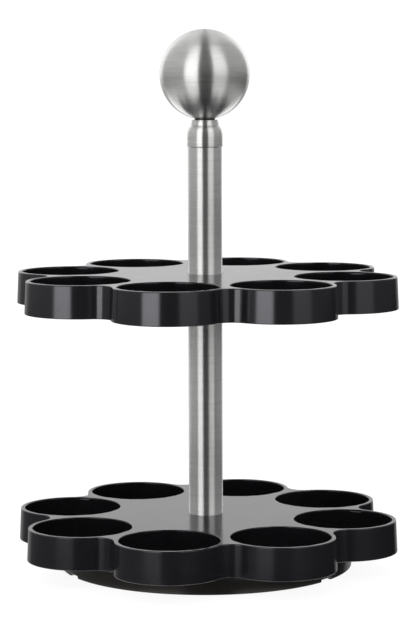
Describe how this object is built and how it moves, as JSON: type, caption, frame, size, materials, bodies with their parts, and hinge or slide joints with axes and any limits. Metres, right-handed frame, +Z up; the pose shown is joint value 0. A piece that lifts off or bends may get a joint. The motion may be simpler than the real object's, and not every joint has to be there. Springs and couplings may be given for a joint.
{
  "type": "spice carousel",
  "caption": "Two-tier rotating spice rack: scalloped black trays with round jar pockets on a brushed steel column with a ball on top and a low round base.",
  "frame": {"origin": "centre of the plane that the rubber feet stand on, on the axis of rotation", "axes": "+Z up along the column; +X through the centre of one pocket of each tray"},
  "size_m": [0.1824, 0.1824, 0.2509],
  "materials": {
    "moulded_black": "satin-gloss black injection moulding with polished rims",
    "base_black": "fine-textured black injection moulding",
    "foot_rubber": "soft grey-black pad",
    "tube_steel": "lengthwise brushed stainless steel",
    "collar_steel": "lathe-brushed stainless steel",
    "ball_steel": "lathe-brushed stainless steel with fine level rings",
    "bearing_steel": "polished hardened steel",
    "zinc_steel": "bright zinc-plated steel",
    "cage_plastic": "natural acetal"
  },
  "bodies": {
    "base": {"base_pan": "base_black", "rubber_feet": "foot_rubber", "lower_race": "bearing_steel", "pivot_bush": "cage_plastic"},
    "carousel": {"upper_race": "bearing_steel", "pivot_sleeve": "bearing_steel", "retaining_washer": "zinc_steel", "lock_nut": "zinc_steel", "tie_rod": "zinc_steel", "lower_tray": "moulded_black", "upper_tray": "moulded_black", "lower_tube_plug": "zinc_steel", "middle_tube_plug": "zinc_steel", "lower_tube": "tube_steel", "upper_tube": "tube_steel", "collar": "collar_steel", "neck_washer": "collar_steel", "knob_insert": "zinc_steel", "ball_knob": "ball_steel"},
    "bearing_cage": {"ball_cage": "cage_plastic", "bearing_balls": "bearing_steel"}
  },
  "joints": [
    {"name": "carousel_turn", "type": "hinge", "parent": "base", "child": "carousel", "pos_m": [0, 0, 0.0111], "axis": [0, 0, 1], "continuous": true},
    {"name": "cage_turn", "type": "hinge", "parent": "base", "child": "bearing_cage", "pos_m": [0, 0, 0.0111], "axis": [0, 0, 1], "continuous": true}
  ],
  "couplings": [
    {"joint": "cage_turn", "follows": "carousel_turn", "ratio": 0.5}
  ]
}
